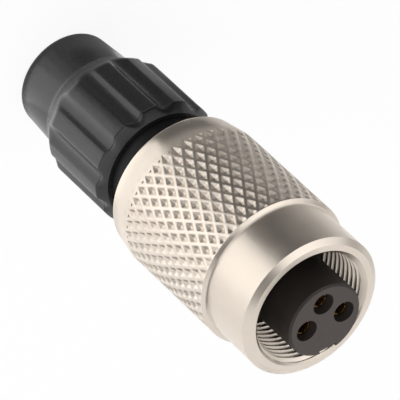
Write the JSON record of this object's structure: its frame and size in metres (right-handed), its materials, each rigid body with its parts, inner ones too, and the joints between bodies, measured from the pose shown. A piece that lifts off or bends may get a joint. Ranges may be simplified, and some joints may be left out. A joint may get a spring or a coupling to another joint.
{
  "type": "circular sensor connector",
  "caption": "Straight circular cable connector: knurled screw ring round a keyed socket insert, with a fluted clamp nut that grips the cable at the rear.",
  "frame": {"origin": "centre of the clamp nut's rear end, where the connector stands", "axes": "+Z along the connector's axis towards the mating face, +Y through the insert's keyway"},
  "size_m": [0.0116, 0.0116, 0.0332],
  "materials": {
    "ring_plate": "satin nickel plate",
    "insert_plastic": "moulded, fine matt",
    "contact_plate": "gold plate",
    "seal_rubber": "matt",
    "housing_plastic": "moulded, satin",
    "cage_plastic": "moulded, satin",
    "nut_plastic": "moulded, satin"
  },
  "bodies": {
    "housing": {"housing_sleeve": "housing_plastic", "contact_insert": "insert_plastic", "contact_1": "contact_plate", "contact_2": "contact_plate", "contact_3": "contact_plate", "face_seal": "seal_rubber", "cable_seal": "seal_rubber"},
    "ring": {"coupling_ring": "ring_plate"},
    "clamp": {"clamp_cage": "cage_plastic"},
    "nut": {"clamp_nut": "nut_plastic"}
  },
  "joints": [
    {"name": "ring_spin", "type": "hinge", "parent": "housing", "child": "ring", "pos_m": [0, 0, 0.0242], "axis": [0, 0, 1], "continuous": true},
    {"name": "clamp_slide", "type": "slide", "parent": "housing", "child": "clamp", "axis": [0, 0, -1], "range_m": [0, 0.003]},
    {"name": "nut_turn", "type": "hinge", "parent": "clamp", "child": "nut", "pos_m": [0, 0, 0.006], "axis": [0, 0, -1], "range_deg": [0, 1440]}
  ],
  "couplings": [
    {"joint": "nut_turn", "follows": "clamp_slide", "rad_per_m": 8377.5}
  ]
}
